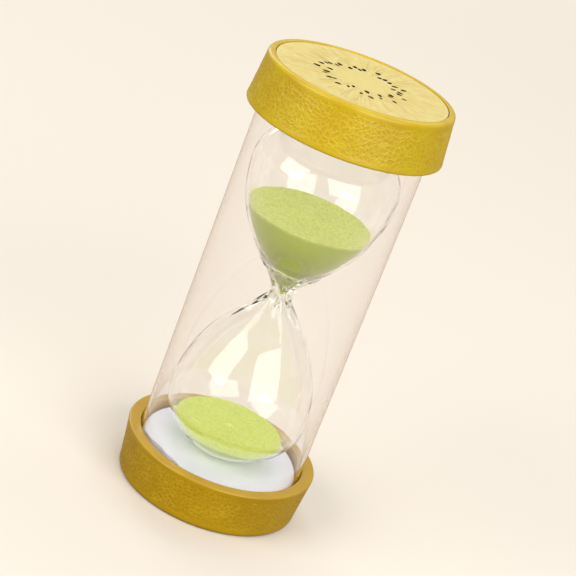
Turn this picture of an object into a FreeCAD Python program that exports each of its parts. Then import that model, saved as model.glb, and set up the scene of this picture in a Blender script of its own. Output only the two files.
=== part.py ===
"""Hourglass: two moulded caps, a clear tube, foam pads, a blown double bulb and its sand.

The frame has its origin at the centre of the lower cap's outer face, with +Z along the axis.
The two ends are alike. Every end piece is drawn once, in a frame of its own that has its origin
on the cap's outer face and +Z pointing into the object, and is then placed at both ends.
Glass and sand are drawn in a frame at the middle of the neck, with +Z towards the bulb's end.
"""

import FreeCAD
import Part
import Sketcher
import math
import os

SHEET = "Dimensions"
PARTS_FOLDER = "parts"

DIMENSIONS = {
    # Whole object
    "overall_height": 156.4,
    # Clear tube
    "tube_radius": 29.2,
    "tube_wall": 1.0,
    "tube_clearance": 0.5,
    # End caps
    "cap_height": 17.3,
    "rim_width": 4.3,
    "cap_draft": 1.9,
    "lip_width": 2.25,
    "web_thickness": 2.0,
    "face_fillet": 1.4,
    "rim_fillet": 0.6,
    "mouth_fillet": 0.4,
    # Printed discs and the adhesive behind them
    "disc_depth": 0.33,
    "disc_thickness": 1.0,
    "disc_clearance": 0.3,
    "disc_fillet": 0.15,
    "adhesive_thickness": 0.2,
    "adhesive_margin": 1.0,
    # Foam pads
    "foam_thickness": 12.0,
    "foam_clearance": 0.2,
    "foam_hole_clearance": 0.6,
    "foam_trim_depth": 2.0,
    "foam_trim_angle": -134.0,
    "seat_clearance": 0.15,
    "bulb_sink": 1.1,
    # Glass bulbs
    "upper_bulb_gap": 2.9,
    "lower_bulb_gap": 3.6,
    "glass_wall": 0.8,
    "end_flattening": 2.2,
    "shoulder_arc": 14.0,
    "cone_length": 14.0,
    "neck_radius": 3.8,
    "neck_arc": 5.5,
    "bore_radius": 1.0,
    # Filling hole and its stopper
    "hole_radius": 2.5,
    "hole_clearance": 0.1,
    "stopper_reach": 1.0,
    "stopper_lip": 0.9,
    "stopper_head_height": 2.0,
    "stopper_gap": 0.1,
    # Sand
    "sand_clearance": 0.15,
    "upper_sand_level": 28.8,
    "upper_sand_dish": 0.8,
    "lower_sand_depth": 9.0,
    "lower_sand_mound": 0.6,
}

doc = FreeCAD.newDocument("Hourglass")


class Size:
    """A length that knows both its value and the sheet expression that gives it."""

    def __init__(self, value, text):
        self.value = value
        self.text = text

    def combine(self, other, value, sign, flipped=False):
        """Return a new size from this one and another size or plain number."""
        first, second = self.text, as_size(other).text
        if flipped:
            first, second = second, first
        return Size(value, f"({first} {sign} {second})")

    def __add__(self, other):
        return self.combine(other, self.value + as_size(other).value, "+")

    def __sub__(self, other):
        return self.combine(other, self.value - as_size(other).value, "-")

    def __mul__(self, other):
        return self.combine(other, self.value * as_size(other).value, "*")

    def __rmul__(self, other):
        return self.combine(other, as_size(other).value * self.value, "*", flipped=True)

    def __truediv__(self, other):
        return self.combine(other, self.value / as_size(other).value, "/")


def as_size(item):
    """Return the item itself if it is a size, or a plain number as a size."""
    if isinstance(item, Size):
        return item
    return Size(float(item), repr(item))


def make_sheet():
    """Write the driving dimensions to the sheet and return them as sizes by name."""
    sheet = doc.addObject("Spreadsheet::Sheet", SHEET)
    sizes = {}
    for row, (name, value) in enumerate(DIMENSIONS.items(), start=1):
        sheet.set(f"A{row}", name)
        sheet.set(f"B{row}", str(value))
        sheet.setAlias(f"B{row}", name)
        sizes[name] = Size(value, f"{SHEET}.{name}")
    doc.recompute()
    return sizes


size = make_sheet()

# Radii, worked outwards and inwards from the tube
tube_inner = size["tube_radius"] - size["tube_wall"]
cap_bore = size["tube_radius"] + size["tube_clearance"]
rim_radius = cap_bore + size["rim_width"]
face_radius = rim_radius - size["cap_draft"]
recess_radius = face_radius - size["lip_width"]
disc_radius = recess_radius - size["disc_clearance"]
adhesive_radius = disc_radius - size["adhesive_margin"]
foam_radius = tube_inner - size["foam_clearance"]
stopper_head_radius = size["hole_radius"] + size["stopper_lip"]
foam_hole_radius = stopper_head_radius + size["foam_hole_clearance"]
bulb_radius = {
    "upper": tube_inner - size["upper_bulb_gap"],
    "lower": tube_inner - size["lower_bulb_gap"],
}
end_arc = {name: radius + size["end_flattening"] for name, radius in bulb_radius.items()}

# Heights above a cap's outer face
adhesive_base = size["disc_depth"] + size["disc_thickness"]
recess_depth = adhesive_base + size["adhesive_thickness"]
cap_floor = recess_depth + size["web_thickness"]
foam_top = cap_floor + size["foam_thickness"]
bulb_end_height = foam_top - size["bulb_sink"]

# Heights above the middle of the neck
half_height = size["overall_height"] / 2
bulb_end = half_height - bulb_end_height


def square(length):
    """Return a size multiplied by itself."""
    return length * length


def root(length):
    """Return the square root of a size that holds a squared length."""
    return Size(math.sqrt(length.value), f"sqrt({length.text})")


def widest_height(name):
    """Return how far above the neck the named bulb is widest.

    The shoulder arc touches the end arc from inside and is upright at the widest place.
    """
    rise = square(end_arc[name] - size["shoulder_arc"])
    run = square(bulb_radius[name] - size["shoulder_arc"])
    return bulb_end - end_arc[name] + root(rise - run)


def flank_radius(name, widest):
    """Return the flank arc's radius that leaves a cone of the given length to the neck arc."""
    run = bulb_radius[name] - size["neck_radius"] - size["neck_arc"]
    spare = square(run) + square(widest) - square(size["neck_arc"]) - square(size["cone_length"])
    return spare / (2 * (run + size["neck_arc"]))


def bore_arc_radius(name, widest, flank):
    """Return the bore arc's radius that leaves a cone of the same length inside the glass."""
    inner_flank = flank - size["glass_wall"]
    run = size["bore_radius"] - bulb_radius[name] + flank
    spare = square(run) + square(widest) - square(inner_flank) - square(size["cone_length"])
    return spare / (2 * (inner_flank - run))


widest = {name: widest_height(name) for name in bulb_radius}
flank_arc = {name: flank_radius(name, widest[name]) for name in bulb_radius}
bore_arc = {name: bore_arc_radius(name, widest[name], flank_arc[name]) for name in bulb_radius}


def new_body(label):
    """Add an empty body with the given label."""
    body = doc.addObject("PartDesign::Body", label)
    body.Label = label
    return body


def place(body, height, turned):
    """Put a body's own origin at a height on the axis, turned over for the upper end."""
    turn = 180.0 if turned else 0.0
    rotation = FreeCAD.Rotation(FreeCAD.Vector(1, 0, 0), turn)
    body.Placement = FreeCAD.Placement(FreeCAD.Vector(0, 0, height.value), rotation)
    body.setExpression("Placement.Base.z", height.text)


def origin_plane(body, role):
    """Return one of the body's own origin planes."""
    for feature in body.Origin.OriginFeatures:
        if feature.Role == role:
            return feature
    raise ValueError(f"{body.Label} has no {role}")


def new_sketch(body, name, role="XZ_Plane", turned=False):
    """Add a sketch on one of the body's own origin planes, upside down if turned."""
    sketch = body.newObject("Sketcher::SketchObject", f"{body.Label}_{name}")
    sketch.AttachmentSupport = [(origin_plane(body, role), "")]
    sketch.MapMode = "FlatFace"
    if turned:
        turn = FreeCAD.Rotation(FreeCAD.Vector(1, 0, 0), 180.0)
        sketch.AttachmentOffset = FreeCAD.Placement(FreeCAD.Vector(0, 0, 0), turn)
    return sketch


ORIGIN = (-1, 1)
H_AXIS = -1
V_AXIS = -2
START, END, CENTRE = 1, 2, 3


def bind(sketch, kind, places, length):
    """Add a dimension to the sketch and tie it to its size."""
    index = sketch.addConstraint(Sketcher.Constraint(kind, *places, length.value))
    sketch.setExpression(f"Constraints[{index}]", length.text)


def fix(sketch, kind, *places):
    """Add a constraint that has no size."""
    sketch.addConstraint(Sketcher.Constraint(kind, *places))


def fix_corner(sketch, corner, radius, height):
    """Fix a sketch point at a radius and height, either of which may be None for zero."""
    if radius is None:
        fix(sketch, "PointOnObject", *corner, V_AXIS)
    else:
        bind(sketch, "DistanceX", (*ORIGIN, *corner), radius)
    if height is None:
        fix(sketch, "PointOnObject", *corner, H_AXIS)
    else:
        bind(sketch, "DistanceY", (*ORIGIN, *corner), height)


def number(length):
    """Return a size's value, or zero for None."""
    return 0.0 if length is None else length.value


def vector(radius, height):
    """Return the sketch point of a radius and height."""
    return FreeCAD.Vector(number(radius), number(height), 0)


def draw_outline(sketch, corners):
    """Draw a closed outline of straight lines through (radius, height) corners."""
    count = len(corners)
    lines = []
    for index in range(count):
        start = vector(*corners[index])
        finish = vector(*corners[(index + 1) % count])
        lines.append(sketch.addGeometry(Part.LineSegment(start, finish)))
    for index in range(count):
        fix(sketch, "Coincident", lines[index - 1], END, lines[index], START)
    for line, (radius, height) in zip(lines, corners):
        fix_corner(sketch, (line, START), radius, height)


def turn_about_axis(body, sketch, kind="PartDesign::Revolution"):
    """Turn a sketch a full circle about the axis, as a revolution or a groove."""
    before = body.Shape.Volume if kind == "PartDesign::Groove" else None
    feature = body.newObject(kind, f"{sketch.Name}_turn")
    feature.Profile = sketch
    feature.ReferenceAxis = (sketch, ["V_Axis"])
    feature.Angle = 360.0
    sketch.Visibility = False
    doc.recompute()
    if before is not None and feature.Shape.Volume >= before:
        raise ValueError(f"{feature.Name} cut nothing")
    return feature


def circle_edges(shape, radius, height):
    """Return the names of the circular edges with a given radius at a given height."""
    names = []
    for index, edge in enumerate(shape.Edges, start=1):
        curve = edge.Curve
        if not isinstance(curve, Part.Circle):
            continue
        if math.isclose(curve.Radius, radius, abs_tol=1e-4) and math.isclose(
            curve.Center.z, height, abs_tol=1e-4
        ):
            names.append(f"Edge{index}")
    return names


def round_edges(body, base, name, radius, places):
    """Round the circular edges of a feature that lie at the given (radius, height) places."""
    edges = []
    for edge_radius, edge_height in places:
        edges += circle_edges(base.Shape, number(edge_radius), number(edge_height))
    if len(edges) != len(places):
        raise ValueError(f"{body.Label}: {name} found {len(edges)} of {len(places)} edges")
    fillet = body.newObject("PartDesign::Fillet", f"{body.Label}_{name}")
    fillet.Base = (base, edges)
    fillet.Radius = radius.value
    fillet.setExpression("Radius", radius.text)
    doc.recompute()
    return fillet


def make_cap(body):
    """Moulded cap: a cup with a drafted side and a shallow recess in its outer face."""
    sketch = new_sketch(body, "section")
    draw_outline(sketch, [
        (None, recess_depth),
        (recess_radius, recess_depth),
        (recess_radius, None),
        (face_radius, None),
        (rim_radius, size["cap_height"]),
        (cap_bore, size["cap_height"]),
        (cap_bore, cap_floor),
        (None, cap_floor),
    ])
    cup = turn_about_axis(body, sketch)
    cup = round_edges(body, cup, "face_edge", size["face_fillet"], [(face_radius, None)])
    cup = round_edges(body, cup, "rim_edge", size["rim_fillet"],
                      [(rim_radius, size["cap_height"])])
    round_edges(body, cup, "mouth_edge", size["mouth_fillet"], [(cap_bore, size["cap_height"])])


def make_disc(body):
    """Printed disc that sits just below the cap's lip."""
    sketch = new_sketch(body, "section")
    draw_outline(sketch, [
        (None, size["disc_depth"]),
        (disc_radius, size["disc_depth"]),
        (disc_radius, adhesive_base),
        (None, adhesive_base),
    ])
    disc = turn_about_axis(body, sketch)
    round_edges(body, disc, "edge", size["disc_fillet"], [(disc_radius, size["disc_depth"])])


def make_adhesive(body):
    """Double-sided adhesive between the printed disc and the cap's web."""
    sketch = new_sketch(body, "section")
    draw_outline(sketch, [
        (None, adhesive_base),
        (adhesive_radius, adhesive_base),
        (adhesive_radius, recess_depth),
        (None, recess_depth),
    ])
    turn_about_axis(body, sketch)


def make_foam(body, ball_radius):
    """Foam pad with a centre hole and a shallow dish for a bulb's end of the given radius."""
    sketch = new_sketch(body, "section")
    draw_outline(sketch, [
        (foam_hole_radius, cap_floor),
        (foam_radius, cap_floor),
        (foam_radius, foam_top),
        (foam_hole_radius, foam_top),
    ])
    turn_about_axis(body, sketch)

    dish_radius = ball_radius + size["seat_clearance"]
    dish_centre = bulb_end_height + ball_radius
    lowest = dish_centre - dish_radius
    highest = dish_centre + dish_radius
    dish = new_sketch(body, "dish")
    centre = vector(None, dish_centre)
    circle = Part.Circle(centre, FreeCAD.Vector(0, 0, 1), dish_radius.value)
    arc = dish.addGeometry(Part.ArcOfCircle(circle, -math.pi / 2, math.pi / 2))
    side = dish.addGeometry(Part.LineSegment(vector(None, highest), vector(None, lowest)))
    fix(dish, "Coincident", arc, END, side, START)
    fix(dish, "Coincident", side, END, arc, START)
    fix(dish, "PointOnObject", arc, CENTRE, V_AXIS)
    fix(dish, "PointOnObject", side, START, V_AXIS)
    fix(dish, "PointOnObject", side, END, V_AXIS)
    bind(dish, "Radius", (arc,), dish_radius)
    bind(dish, "DistanceY", (*ORIGIN, arc, CENTRE), dish_centre)
    turn_about_axis(body, dish, "PartDesign::Groove")


def trim_foam(body):
    """Cut the flat that hand trimming leaves on one side of a foam pad."""
    before = body.Shape.Volume
    sketch = new_sketch(body, "trim", "XY_Plane")
    angle = size["foam_trim_angle"]
    sketch.AttachmentOffset = FreeCAD.Placement(
        FreeCAD.Vector(0, 0, 0), FreeCAD.Rotation(FreeCAD.Vector(0, 0, 1), angle.value)
    )
    sketch.setExpression("AttachmentOffset.Rotation.Angle", angle.text)
    near = foam_radius - size["foam_trim_depth"]
    far = foam_radius + size["foam_trim_depth"]
    corners = [(near, -1), (far, -1), (far, 1), (near, 1)]
    points = [
        FreeCAD.Vector(radius.value, side * foam_radius.value, 0) for radius, side in corners
    ]
    lines = [
        sketch.addGeometry(Part.LineSegment(points[index], points[(index + 1) % 4]))
        for index in range(4)
    ]
    for index in range(4):
        fix(sketch, "Coincident", lines[index - 1], END, lines[index], START)
    fix(sketch, "Horizontal", lines[0])
    fix(sketch, "Vertical", lines[1])
    fix(sketch, "Horizontal", lines[2])
    fix(sketch, "Symmetric", lines[3], START, lines[3], END, H_AXIS)
    bind(sketch, "DistanceX", (*ORIGIN, lines[0], START), near)
    bind(sketch, "DistanceX", (*ORIGIN, lines[0], END), far)
    bind(sketch, "DistanceY", (lines[0], START, lines[3], START), 2 * foam_radius)
    pocket = body.newObject("PartDesign::Pocket", f"{body.Label}_trim_cut")
    pocket.Profile = sketch
    pocket.Type = "ThroughAll"
    pocket.SideType = "Symmetric"
    doc.recompute()
    if pocket.Shape.Volume >= before:
        raise ValueError("the foam trim cut nothing")


class BulbCurve:
    """Half outline of a bulb: end arc, shoulder arc, flank arc, cone line and neck arc.

    The curve runs from the end of the named bulb on the axis to the middle of the neck. An
    inset gives the parallel curve that lies that far inside the glass's outer surface.
    """

    def __init__(self, name, inset, neck_radius, neck_arc):
        self.end_centre = bulb_end - end_arc[name]
        self.widest = widest[name]
        self.end_arc = end_arc[name] - inset
        self.shoulder_arc = size["shoulder_arc"] - inset
        self.flank_arc = flank_arc[name] - inset
        self.radius = bulb_radius[name] - inset
        self.end_height = bulb_end - inset
        self.neck_radius = neck_radius
        self.neck_arc = neck_arc


def arc_from(centre, radius, first, last):
    """Return an arc between two angles in radians."""
    circle = Part.Circle(centre, FreeCAD.Vector(0, 0, 1), radius)
    return Part.ArcOfCircle(circle, first, last)


def draw_bulb_curve(sketch, curve):
    """Draw a bulb curve and return its points at the bulb's end and at the neck."""
    end_middle = vector(None, curve.end_centre)
    shoulder_middle = vector(curve.radius - curve.shoulder_arc, curve.widest)
    flank_middle = vector(curve.radius - curve.flank_arc, curve.widest)
    neck_middle = vector(curve.neck_radius + curve.neck_arc, None)
    end_angle = math.atan2(shoulder_middle.y - end_middle.y, shoulder_middle.x)
    across = neck_middle - flank_middle
    reach = curve.flank_arc.value + curve.neck_arc.value
    cone_angle = math.atan2(across.y, across.x) + math.acos(reach / across.Length)
    normal = FreeCAD.Vector(math.cos(cone_angle), math.sin(cone_angle), 0)
    cone_start = neck_middle - normal * curve.neck_arc.value
    cone_end = flank_middle + normal * curve.flank_arc.value

    end = sketch.addGeometry(
        arc_from(end_middle, curve.end_arc.value, end_angle, math.pi / 2))
    shoulder = sketch.addGeometry(
        arc_from(shoulder_middle, curve.shoulder_arc.value, 0, end_angle))
    flank = sketch.addGeometry(
        arc_from(flank_middle, curve.flank_arc.value, cone_angle, 0))
    cone = sketch.addGeometry(Part.LineSegment(cone_start, cone_end))
    neck = sketch.addGeometry(
        arc_from(neck_middle, curve.neck_arc.value, cone_angle + math.pi, math.pi))

    fix(sketch, "Tangent", end, START, shoulder, END)
    fix(sketch, "Tangent", shoulder, START, flank, END)
    fix(sketch, "Tangent", flank, START, cone, END)
    fix(sketch, "Tangent", cone, START, neck, START)
    fix(sketch, "PointOnObject", end, CENTRE, V_AXIS)
    fix(sketch, "PointOnObject", neck, CENTRE, H_AXIS)
    fix(sketch, "Horizontal", shoulder, CENTRE, shoulder, START)
    fix_corner(sketch, (end, END), None, curve.end_height)
    fix_corner(sketch, (neck, END), curve.neck_radius, None)
    bind(sketch, "DistanceX", (*ORIGIN, shoulder, START), curve.radius)
    bind(sketch, "Radius", (end,), curve.end_arc)
    bind(sketch, "Radius", (shoulder,), curve.shoulder_arc)
    bind(sketch, "Radius", (flank,), curve.flank_arc)
    bind(sketch, "Radius", (neck,), curve.neck_arc)
    return (end, END), (neck, END)


def join_points(sketch, first, second):
    """Draw a line between two points that other geometry already fixes."""
    start = sketch.getPoint(*first)
    finish = sketch.getPoint(*second)
    line = sketch.addGeometry(Part.LineSegment(start, finish))
    fix(sketch, "Coincident", line, START, *first)
    fix(sketch, "Coincident", line, END, *second)


def make_glass(body):
    """Two blown bulbs fused at the neck, with a filling hole in the upper bulb's end."""
    for name, turned in (("upper", False), ("lower", True)):
        outer = BulbCurve(name, as_size(0), size["neck_radius"], size["neck_arc"])
        inner = BulbCurve(name, size["glass_wall"], size["bore_radius"], bore_arc[name])
        sketch = new_sketch(body, f"{name}_wall", turned=turned)
        outer_end, outer_neck = draw_bulb_curve(sketch, outer)
        inner_end, inner_neck = draw_bulb_curve(sketch, inner)
        join_points(sketch, outer_end, inner_end)
        join_points(sketch, inner_neck, outer_neck)
        turn_about_axis(body, sketch)

    hole = new_sketch(body, "hole")
    inside = bulb_end - 3 * size["glass_wall"]
    outside = bulb_end + size["glass_wall"]
    draw_outline(hole, [
        (None, inside),
        (size["hole_radius"], inside),
        (size["hole_radius"], outside),
        (None, outside),
    ])
    turn_about_axis(body, hole, "PartDesign::Groove")


def make_stopper(body):
    """Stopper whose stem fills the hole in the glass and whose head sits in the foam's hole."""
    stem_radius = size["hole_radius"] - size["hole_clearance"]
    stem_end = bulb_end - size["glass_wall"] - size["stopper_reach"]
    head_base = bulb_end + size["stopper_gap"]
    head_top = head_base + size["stopper_head_height"]
    sketch = new_sketch(body, "section")
    draw_outline(sketch, [
        (None, stem_end),
        (stem_radius, stem_end),
        (stem_radius, head_base),
        (stopper_head_radius, head_base),
        (stopper_head_radius, head_top),
        (None, head_top),
    ])
    turn_about_axis(body, sketch)


def fill_bulb(body, name):
    """Fill the named bulb with sand, a small clearance inside the glass."""
    sketch = new_sketch(body, "filling")
    inset = size["glass_wall"] + size["sand_clearance"]
    curve = BulbCurve(
        name,
        inset,
        size["bore_radius"] - size["sand_clearance"],
        bore_arc[name] + size["sand_clearance"],
    )
    end, neck = draw_bulb_curve(sketch, curve)
    join_points(sketch, neck, ORIGIN)
    join_points(sketch, ORIGIN, end)
    turn_about_axis(body, sketch)


def cut_to_level(body, reach, level, bulge, limit):
    """Remove the sand between its surface and a limit height, out to a reach.

    The surface is at the level where it meets the glass, and lies nearer the neck by the
    bulge on the axis: a dish in the upper bulb and a mound in the lower one.
    """
    ball = ((square(reach) + square(bulge)) / (2 * bulge)).value
    centre = level.value - bulge.value + ball
    sketch = new_sketch(body, "level")
    first = -math.pi / 2
    surface = sketch.addGeometry(
        arc_from(vector(None, as_size(centre)), ball, first, first + math.asin(reach.value / ball))
    )
    fix(sketch, "PointOnObject", surface, CENTRE, V_AXIS)
    fix_corner(sketch, (surface, START), None, level - bulge)
    fix_corner(sketch, (surface, END), reach, level)
    side = sketch.addGeometry(Part.LineSegment(vector(reach, level), vector(reach, limit)))
    top = sketch.addGeometry(Part.LineSegment(vector(reach, limit), vector(None, limit)))
    axis = sketch.addGeometry(
        Part.LineSegment(vector(None, limit), vector(None, level - bulge)))
    fix(sketch, "Coincident", surface, END, side, START)
    fix(sketch, "Coincident", side, END, top, START)
    fix(sketch, "Coincident", top, END, axis, START)
    fix(sketch, "Coincident", axis, END, surface, START)
    fix_corner(sketch, (side, END), reach, limit)
    fix_corner(sketch, (axis, START), None, limit)
    turn_about_axis(body, sketch, "PartDesign::Groove")


def make_end(name, turned):
    """Make the cap, printed disc, adhesive and foam pad of one end, and return the pad."""
    base = size["overall_height"] if turned else as_size(0)
    makers = {"end_cap": make_cap, "slice_disc": make_disc, "disc_adhesive": make_adhesive}
    for piece, maker in makers.items():
        body = new_body(f"{name}_{piece}")
        maker(body)
        place(body, base, turned)
    pad = new_body(f"{name}_foam_pad")
    make_foam(pad, end_arc[name])
    place(pad, base, turned)
    return pad


def make_tube():
    """Clear tube that stands on the floors of both caps."""
    body = new_body("clear_tube")
    tube_end = size["overall_height"] - cap_floor
    sketch = new_sketch(body, "section")
    draw_outline(sketch, [
        (tube_inner, cap_floor),
        (size["tube_radius"], cap_floor),
        (size["tube_radius"], tube_end),
        (tube_inner, tube_end),
    ])
    turn_about_axis(body, sketch)


def make_bulbs():
    """Glass, stopper and sand, all placed from the middle of the neck."""
    glass = new_body("glass_bulbs")
    make_glass(glass)
    place(glass, half_height, turned=False)

    stopper = new_body("fill_stopper")
    make_stopper(stopper)
    place(stopper, half_height, turned=False)

    upper_sand = new_body("upper_sand")
    fill_bulb(upper_sand, "upper")
    cut_to_level(
        upper_sand,
        bulb_radius["upper"],
        size["upper_sand_level"],
        size["upper_sand_dish"],
        bulb_end,
    )
    place(upper_sand, half_height, turned=False)

    lower_level = bulb_end - size["glass_wall"] - size["lower_sand_depth"]
    lower_sand = new_body("lower_sand")
    fill_bulb(lower_sand, "lower")
    cut_to_level(
        lower_sand, bulb_radius["lower"], lower_level, size["lower_sand_mound"], None)
    place(lower_sand, half_height, turned=True)


def check_document():
    """Stop if any object failed to compute."""
    doc.recompute()
    for item in doc.Objects:
        if "Invalid" in item.State or "Error" in item.State:
            raise ValueError(f"{item.Name} failed: {item.State}")


def export_bodies():
    """Check every body's shape and write each one to its own STEP file."""
    bodies = [item for item in doc.Objects if item.TypeId == "PartDesign::Body"]
    for body in bodies:
        shape = body.Shape
        if shape.isNull() or not shape.isValid() or len(shape.Solids) != 1:
            raise ValueError(f"{body.Label} is not one valid solid")
    os.makedirs(PARTS_FOLDER, exist_ok=True)
    for body in bodies:
        body.Shape.exportStep(os.path.join(PARTS_FOLDER, f"{body.Label}.step"))
        print(f"{body.Label}: {body.Shape.Volume / 1000:.2f} cm3")


lower_pad = make_end("lower", turned=False)
trim_foam(lower_pad)
make_end("upper", turned=True)
make_tube()
make_bulbs()
check_document()
export_bodies()
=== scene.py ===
"""Visual model of the fruit-slice hourglass: caps, printed discs, foam, tube, glass and sand.

Every piece is a surface turned about the upright axis. Its section is an outline of radius and
height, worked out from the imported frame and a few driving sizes, and its relief is a field on
the grid of outline points and turns. All sizes are in metres.
"""

import logging
import math
from dataclasses import dataclass
from enum import Enum
from typing import Any

import bpy
import numpy as np
from mathutils import Matrix, Vector


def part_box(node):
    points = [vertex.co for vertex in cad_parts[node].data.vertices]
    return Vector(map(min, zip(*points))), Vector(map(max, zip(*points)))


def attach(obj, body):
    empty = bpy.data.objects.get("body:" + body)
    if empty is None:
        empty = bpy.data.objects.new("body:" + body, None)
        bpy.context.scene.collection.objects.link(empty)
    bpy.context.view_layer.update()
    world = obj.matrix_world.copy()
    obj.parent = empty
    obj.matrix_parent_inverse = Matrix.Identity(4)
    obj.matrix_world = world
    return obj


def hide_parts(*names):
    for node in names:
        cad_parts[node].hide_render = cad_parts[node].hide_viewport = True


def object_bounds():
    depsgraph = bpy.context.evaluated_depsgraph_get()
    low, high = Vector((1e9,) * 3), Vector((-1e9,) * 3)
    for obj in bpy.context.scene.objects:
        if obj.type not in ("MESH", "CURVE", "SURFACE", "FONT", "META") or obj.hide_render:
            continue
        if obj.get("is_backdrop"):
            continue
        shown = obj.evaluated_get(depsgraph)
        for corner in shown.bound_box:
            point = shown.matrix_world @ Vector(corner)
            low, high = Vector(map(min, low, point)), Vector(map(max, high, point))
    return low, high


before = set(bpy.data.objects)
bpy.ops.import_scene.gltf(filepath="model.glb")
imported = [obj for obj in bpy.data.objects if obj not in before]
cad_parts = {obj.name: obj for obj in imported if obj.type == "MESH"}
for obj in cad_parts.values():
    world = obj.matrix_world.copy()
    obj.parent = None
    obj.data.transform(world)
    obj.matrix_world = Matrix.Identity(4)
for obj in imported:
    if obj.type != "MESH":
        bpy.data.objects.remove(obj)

LOG = logging.getLogger("hourglass")
MM = 0.001
ON_AXIS = 1e-9
FULL_TURN = 2.0 * math.pi
BODY = "root"

Colour = tuple[float, ...]
Wave = tuple[float, float, float]


# ---------------------------------------------------------------------------------------------
# Shader tools
# ---------------------------------------------------------------------------------------------


def tint(red: float, green: float, blue: float) -> Colour:
    """Return the linear colour, with an alpha of 1, of a screen colour of 0 to 255."""
    shares = [value / 255.0 for value in (red, green, blue)]
    linear = [s / 12.92 if s <= 0.04045 else ((s + 0.055) / 1.055) ** 2.4 for s in shares]
    return (*linear, 1.0)


WHITE = (1.0, 1.0, 1.0, 1.0)
BLACK = (0.0, 0.0, 0.0, 1.0)


class Wire:
    """A node's output socket that takes part in arithmetic by adding Math nodes."""

    def __init__(self, graph: "Graph", socket: bpy.types.NodeSocket) -> None:
        """Hold a socket and the graph that it belongs to."""
        self.graph = graph
        self.socket = socket

    def _math(self, operation: str, *values: Any) -> "Wire":
        """Add one Math node and return its result."""
        return self.graph.node("ShaderNodeMath", {"operation": operation}, dict(enumerate(values)))

    def __add__(self, other: Any) -> "Wire":
        """Return self + other."""
        return self._math("ADD", self, other)

    def __sub__(self, other: Any) -> "Wire":
        """Return self - other."""
        return self._math("SUBTRACT", self, other)

    def __rsub__(self, other: Any) -> "Wire":
        """Return other - self."""
        return self._math("SUBTRACT", other, self)

    def __mul__(self, other: Any) -> "Wire":
        """Return self * other."""
        return self._math("MULTIPLY", self, other)

    __radd__ = __add__
    __rmul__ = __mul__

    def size(self) -> "Wire":
        """Return the number without its sign."""
        return self._math("ABSOLUTE", self)

    def larger(self, other: Any) -> "Wire":
        """Return the larger of two numbers."""
        return self._math("MAXIMUM", self, other)

    def step(self, low: float, high: float) -> "Wire":
        """Rise smoothly from 0 at low to 1 at high, or fall if high is below low."""
        first, last = (0.0, 1.0) if low <= high else (1.0, 0.0)
        return self.graph.node("ShaderNodeMapRange", {"interpolation_type": "SMOOTHSTEP"}, {
            "Value": self, "From Min": min(low, high), "From Max": max(low, high),
            "To Min": first, "To Max": last,
        })


class Graph:
    """A node tree that a finish or the world fills."""

    def __init__(self, tree: bpy.types.NodeTree) -> None:
        """Hold the tree."""
        self.tree = tree

    def node(self, kind: str, settings: dict[str, Any] | None = None,
             inputs: dict[Any, Any] | None = None, output: int | str = 0) -> Wire:
        """Add a node, set it up and wire it.

        Args:
            kind: The node's type name.
            settings: Properties, set first.
            inputs: Values or wires for sockets, by name or number.
            output: The socket to return, by name or number.

        Returns:
            The chosen output socket.
        """
        made = self.tree.nodes.new(kind)
        for key, value in (settings or {}).items():
            setattr(made, key, value)
        self.fill(made, inputs or {})
        return Wire(self, made.outputs[output])

    def fill(self, node: bpy.types.Node, inputs: dict[Any, Any]) -> None:
        """Give a node's sockets their values and wires.

        Args:
            node: The node.
            inputs: Values or wires for its sockets, by name or number.
        """
        for key, value in inputs.items():
            if isinstance(value, Wire):
                self.tree.links.new(value.socket, node.inputs[key])
            else:
                node.inputs[key].default_value = value

    def place(self, scale: float = 1.0 / MM) -> Wire:
        """Return the object's own coordinates, in millimetres unless another scale is given."""
        point = self.node("ShaderNodeTexCoord", output="Object")
        return self.vector("SCALE", point, Scale=scale)

    def vector(self, operation: str, first: Any, second: Any = None, output: str = "Vector",
               **others: float) -> Wire:
        """Add one Vector Math node.

        Args:
            operation: What it does.
            first: Its first vector.
            second: Its second vector, if it takes one.
            output: The socket to return.
            others: Values of further sockets, by name.

        Returns:
            The result.
        """
        inputs = {0: first, **others} if second is None else {0: first, 1: second, **others}
        return self.node("ShaderNodeVectorMath", {"operation": operation}, inputs, output)

    def noise(self, point: Wire, scale: float, detail: float = 3.0, rough: float = 0.55) -> Wire:
        """Return soft noise between 0 and 1, with so many waves per unit of the point."""
        values = {"Vector": point, "Scale": scale, "Detail": detail, "Roughness": rough}
        return self.node("ShaderNodeTexNoise", None, values)

    def cells(self, point: Wire, scale: float, feature: str = "F1", output: str = "Distance") -> Wire:
        """Return a Voronoi pattern with so many cells per unit of the point."""
        values = {"Vector": point, "Scale": scale}
        return self.node("ShaderNodeTexVoronoi", {"feature": feature}, values, output)

    def attribute(self, name: str) -> Wire:
        """Return a number stored on the mesh's points."""
        return self.node("ShaderNodeAttribute", {"attribute_name": name}, None, "Fac")

    def mix(self, factor: Any, first: Any, second: Any) -> Wire:
        """Mix two colours by a factor."""
        return self.node("ShaderNodeMix", {"data_type": "RGBA"}, {0: factor, 6: first, 7: second}, 2)

    def choose(self, factor: Wire, first: Wire, second: Wire) -> Wire:
        """Mix two shaders by a factor."""
        return self.node("ShaderNodeMixShader", None, {0: factor, 1: first, 2: second})

    def bump(self, height: Wire, depth: float, strength: float = 1.0) -> Wire:
        """Turn a height of 0 to 1 into a normal, for a relief of that depth in metres."""
        values = {"Height": height, "Distance": depth, "Strength": strength}
        return self.node("ShaderNodeBump", None, values)

    def principled(self, inputs: dict[str, Any]) -> Wire:
        """Add a Principled shader."""
        return self.node("ShaderNodeBsdfPrincipled", None, inputs)

    def ray(self, kind: str) -> Wire:
        """Return 1 for a ray of the kind that Light Path names, such as "Is Shadow Ray"."""
        return self.node("ShaderNodeLightPath", output=kind)


# ---------------------------------------------------------------------------------------------
# Finishes
# ---------------------------------------------------------------------------------------------


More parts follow.
